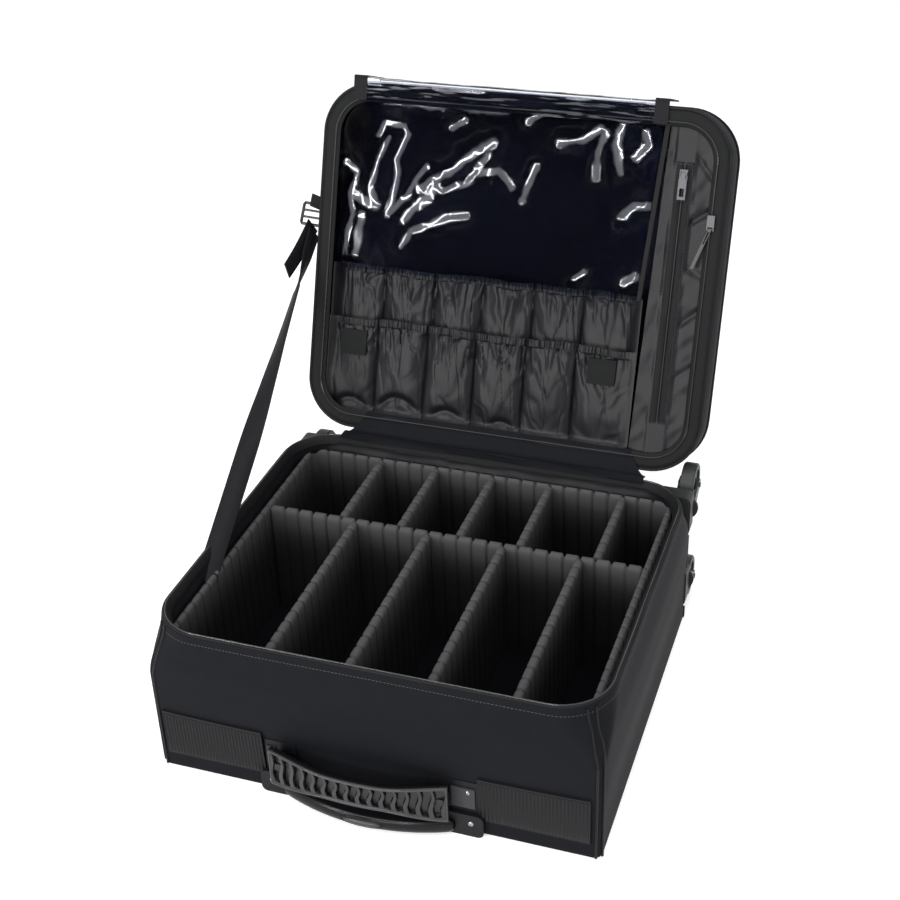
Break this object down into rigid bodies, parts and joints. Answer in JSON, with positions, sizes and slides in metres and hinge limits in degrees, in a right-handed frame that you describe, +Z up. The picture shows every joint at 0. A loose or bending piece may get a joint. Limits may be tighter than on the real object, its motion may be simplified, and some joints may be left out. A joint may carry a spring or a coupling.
{
  "type": "rolling makeup case",
  "caption": "Soft-sided rolling make-up case standing open, with ribbed foam compartments, lid pockets, telescopic trolley and casters.",
  "frame": {"origin": "middle of the back panel's resting face, on the floor", "axes": "+X along the handle face to the right, +Y from the handle face to the wheel face, +Z up"},
  "size_m": [0.4406, 0.5735, 0.503],
  "materials": {
    "fabric_black": "matte woven",
    "board": "raw board",
    "satin_lining": "satin",
    "zip_tape": "woven tape",
    "moulded_black": "fine texture",
    "gloss_black": "polished",
    "bright_metal": "polished",
    "tube_metal": "drawn",
    "spring_steel": "plain",
    "webbing_grey": "webbing",
    "webbing_black": "webbing",
    "buckle_black": "plain",
    "caster_grey": "plain",
    "caster_black": "plain",
    "wheel_rubber": "plain",
    "foam": "ribbed foam",
    "clear_sheet": "flexible clear sheet",
    "flap_cloth": "matte woven"
  },
  "bodies": {
    "base": {"base_shell": "fabric_black", "side_boards": "board", "back_board": "board", "base_lining": "satin_lining", "base_piping": "fabric_black", "base_zip_tape": "zip_tape", "hinge_strip": "fabric_black", "ribbed_bands": "moulded_black", "trolley_mounts": "moulded_black", "face_fasteners": "bright_metal", "trolley_sleeves": "tube_metal", "handle_end_plates": "moulded_black", "webbing_tabs": "webbing_grey", "caster_housings": "caster_grey", "insert_walls": "foam", "insert_floor": "foam", "stay_strap": "webbing_black"},
    "trolley_mid": {"mid_tubes": "tube_metal"},
    "trolley_inner": {"inner_tubes": "tube_metal", "trolley_grip": "gloss_black", "button_spring": "spring_steel"},
    "button": {"trolley_button": "gloss_black", "release_rods": "spring_steel"},
    "carry_handle": {"handle_grip": "moulded_black"},
    "divider_cross": {"cross_divider": "foam"},
    "lid": {"lid_shell": "fabric_black", "lid_board": "board", "lid_lining": "satin_lining", "lid_piping": "fabric_black", "lid_zip_tape": "zip_tape", "lid_hinge_leaf": "fabric_black", "clear_window": "clear_sheet", "upper_pockets": "satin_lining", "lower_pockets": "satin_lining", "hook_patches": "buckle_black", "pocket_zip_tape": "zip_tape", "strap_hardware": "buckle_black"},
    "slider_pocket": {"pocket_slider": "bright_metal"},
    "pull_pocket": {"pocket_pull": "bright_metal"},
    "slider_main": {"main_slider": "bright_metal"},
    "pull_main": {"main_pull": "zip_tape"},
    "flap_top": {"flap_skirt": "flap_cloth"},
    "flap_end": {"flap_sheet": "clear_sheet"},
    "divider_front_1": {"front_divider_1": "foam"},
    "divider_front_2": {"front_divider_2": "foam"},
    "divider_front_3": {"front_divider_3": "foam"},
    "divider_front_4": {"front_divider_4": "foam"},
    "divider_rear_1": {"rear_divider_1": "foam"},
    "divider_rear_2": {"rear_divider_2": "foam"},
    "divider_rear_3": {"rear_divider_3": "foam"},
    "divider_rear_4": {"rear_divider_4": "foam"},
    "divider_rear_5": {"rear_divider_5": "foam"},
    "caster_1": {"caster_fork_1": "caster_black"},
    "wheel_body_1": {"wheel_1": "wheel_rubber"},
    "caster_2": {"caster_fork_2": "caster_black"},
    "wheel_body_2": {"wheel_2": "wheel_rubber"},
    "caster_3": {"caster_fork_3": "caster_black"},
    "wheel_body_3": {"wheel_3": "wheel_rubber"},
    "caster_4": {"caster_fork_4": "caster_black"},
    "wheel_body_4": {"wheel_4": "wheel_rubber"}
  },
  "joints": [
    {"name": "lid_hinge", "type": "hinge", "parent": "base", "child": "lid", "pos_m": [0, 0.18633, 0.1568], "axis": [-1, 0, 0], "range_deg": [-110, 0], "deforming": ["stay_strap"]},
    {"name": "trolley_mid_slide", "type": "slide", "parent": "base", "child": "trolley_mid", "axis": [0, -1, 0], "range_m": [0, 0.27]},
    {"name": "trolley_inner_slide", "type": "slide", "parent": "trolley_mid", "child": "trolley_inner", "axis": [0, -1, 0], "range_m": [0, 0.27]},
    {"name": "button_push", "type": "slide", "parent": "trolley_inner", "child": "button", "axis": [0, 1, 0], "range_m": [0, 0.0028], "stiffness_N_per_m": 800, "springref_m": -0.003, "deforming": ["button_spring"]},
    {"name": "carry_handle_swing", "type": "hinge", "parent": "base", "child": "carry_handle", "pos_m": [-0.0065, -0.1844, 0.042], "axis": [-1, 0, 0], "range_deg": [0, 20]},
    {"name": "cross_divider_lift", "type": "slide", "parent": "base", "child": "divider_cross", "axis": [0, 0, 1], "range_m": [0, 0.16]},
    {"name": "front_divider_1_lift", "type": "slide", "parent": "base", "child": "divider_front_1", "axis": [0, 0, 1], "range_m": [0, 0.16]},
    {"name": "front_divider_2_lift", "type": "slide", "parent": "base", "child": "divider_front_2", "axis": [0, 0, 1], "range_m": [0, 0.16]},
    {"name": "front_divider_3_lift", "type": "slide", "parent": "base", "child": "divider_front_3", "axis": [0, 0, 1], "range_m": [0, 0.16]},
    {"name": "front_divider_4_lift", "type": "slide", "parent": "base", "child": "divider_front_4", "axis": [0, 0, 1], "range_m": [0, 0.16]},
    {"name": "rear_divider_1_lift", "type": "slide", "parent": "base", "child": "divider_rear_1", "axis": [0, 0, 1], "range_m": [0, 0.16]},
    {"name": "rear_divider_2_lift", "type": "slide", "parent": "base", "child": "divider_rear_2", "axis": [0, 0, 1], "range_m": [0, 0.16]},
    {"name": "rear_divider_3_lift", "type": "slide", "parent": "base", "child": "divider_rear_3", "axis": [0, 0, 1], "range_m": [0, 0.16]},
    {"name": "rear_divider_4_lift", "type": "slide", "parent": "base", "child": "divider_rear_4", "axis": [0, 0, 1], "range_m": [0, 0.16]},
    {"name": "rear_divider_5_lift", "type": "slide", "parent": "base", "child": "divider_rear_5", "axis": [0, 0, 1], "range_m": [0, 0.16]},
    {"name": "pocket_zip_slide", "type": "slide", "parent": "lid", "child": "slider_pocket", "axis": [0, -0.342, -0.9397], "range_m": [0, 0.212]},
    {"name": "pocket_pull_swing", "type": "hinge", "parent": "slider_pocket", "child": "pull_pocket", "pos_m": [0.1655, 0.29312, 0.43967], "axis": [-1, 0, 0], "range_deg": [0, 70]},
    {"name": "main_zip_slide", "type": "slide", "parent": "lid", "child": "slider_main", "axis": [0, -0.342, -0.9397], "range_m": [0, 0.15]},
    {"name": "main_pull_swing", "type": "hinge", "parent": "slider_main", "child": "pull_main", "pos_m": [0.197, 0.27602, 0.39268], "axis": [-1, 0, 0], "range_deg": [0, 70]},
    {"name": "caster_1_swivel", "type": "hinge", "parent": "base", "child": "caster_1", "pos_m": [-0.202, 0.183, 0.128], "axis": [0, 1, 0], "continuous": true},
    {"name": "wheel_1_spin", "type": "hinge", "parent": "caster_1", "child": "wheel_body_1", "pos_m": [-0.202, 0.2135, 0.115], "axis": [1, 0, 0], "continuous": true},
    {"name": "caster_2_swivel", "type": "hinge", "parent": "base", "child": "caster_2", "pos_m": [0.202, 0.183, 0.128], "axis": [0, 1, 0], "continuous": true},
    {"name": "wheel_2_spin", "type": "hinge", "parent": "caster_2", "child": "wheel_body_2", "pos_m": [0.202, 0.2135, 0.141], "axis": [1, 0, 0], "continuous": true},
    {"name": "caster_3_swivel", "type": "hinge", "parent": "base", "child": "caster_3", "pos_m": [-0.202, 0.183, 0.04], "axis": [0, 1, 0], "continuous": true},
    {"name": "wheel_3_spin", "type": "hinge", "parent": "caster_3", "child": "wheel_body_3", "pos_m": [-0.202, 0.2135, 0.027], "axis": [1, 0, 0], "continuous": true},
    {"name": "caster_4_swivel", "type": "hinge", "parent": "base", "child": "caster_4", "pos_m": [0.202, 0.183, 0.04], "axis": [0, 1, 0], "continuous": true},
    {"name": "wheel_4_spin", "type": "hinge", "parent": "caster_4", "child": "wheel_body_4", "pos_m": [0.202, 0.2135, 0.027], "axis": [1, 0, 0], "continuous": true},
    {"name": "flap_fold", "type": "hinge", "parent": "lid", "child": "flap_top", "pos_m": [-0.0185, 0.31631, 0.50252], "axis": [1, 0, 0], "range_deg": [0, 265]},
    {"name": "flap_bend", "type": "hinge", "parent": "flap_top", "child": "flap_end", "pos_m": [-0.0185, 0.3633, 0.48542], "axis": [1, 0, 0], "range_deg": [0, 70.2]}
  ],
  "couplings": [
    {"joint": "flap_bend", "follows": "flap_fold", "ratio": 0.26415}
  ]
}
